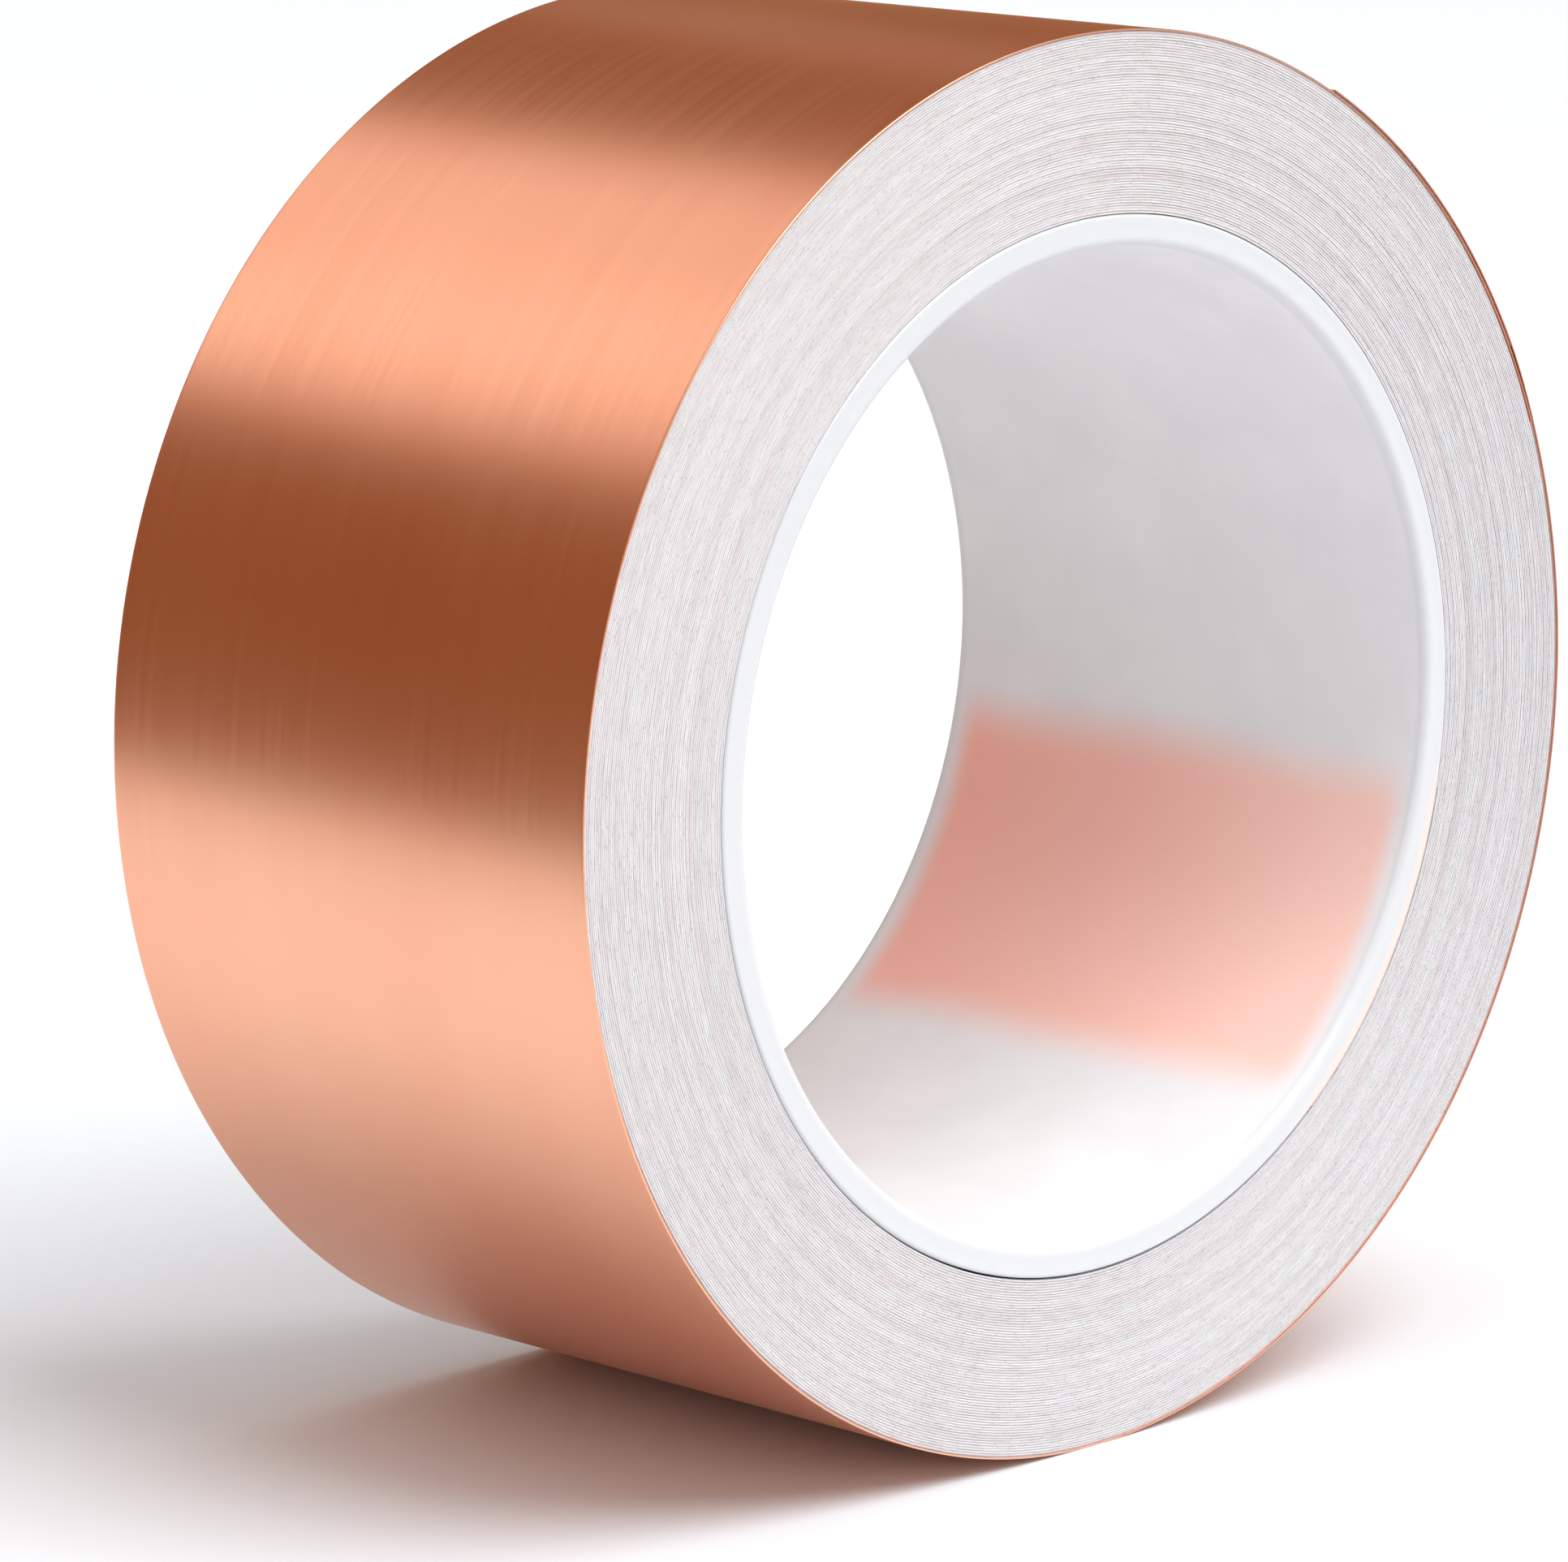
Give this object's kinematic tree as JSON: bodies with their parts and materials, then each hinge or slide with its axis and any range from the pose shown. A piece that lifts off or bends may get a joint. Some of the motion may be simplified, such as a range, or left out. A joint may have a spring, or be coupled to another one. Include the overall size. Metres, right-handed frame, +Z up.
{
  "type": "copper foil tape roll",
  "caption": "Roll of adhesive-backed copper foil tape, wound with its paper release liner on a translucent plastic core, with a free end that lifts and peels from its liner.",
  "frame": {"origin": "centre of the core's bore, halfway across the tape's width", "axes": "+Y along the roll's axis; +Z up with the roll standing on its rim; the free tail is on the +X side, above the middle"},
  "size_m": [0.1088, 0.0508, 0.1087],
  "materials": {
    "core_plastic": "milky translucent moulded plastic, softly glossy at the rounded edges",
    "copper_foil": "satin rolled copper, drawn along the tape",
    "adhesive_film": "thin clear tacky film",
    "liner_paper": "smooth release paper with a fibrous cut edge"
  },
  "bodies": {
    "roll": {"core": "core_plastic", "foil_start": "copper_foil", "adhesive_start": "adhesive_film", "foil_windings": "copper_foil", "foil_outer_turn": "copper_foil", "adhesive_windings": "adhesive_film", "liner_windings": "liner_paper"},
    "tail": {"foil_tail": "copper_foil", "adhesive_tail": "adhesive_film"},
    "liner_end": {"liner_tail": "liner_paper"}
  },
  "joints": [
    {"name": "tail_lift", "type": "hinge", "parent": "roll", "child": "tail", "pos_m": [0.0473, 0, 0.02731], "axis": [0, 1, 0], "range_deg": [0, 90]},
    {"name": "liner_peel", "type": "hinge", "parent": "roll", "child": "liner_end", "pos_m": [0.0473, 0, 0.02731], "axis": [0, 1, 0], "range_deg": [0, 45]}
  ],
  "couplings": [
    {"joint": "liner_peel", "follows": "tail_lift", "ratio": 0.5}
  ]
}
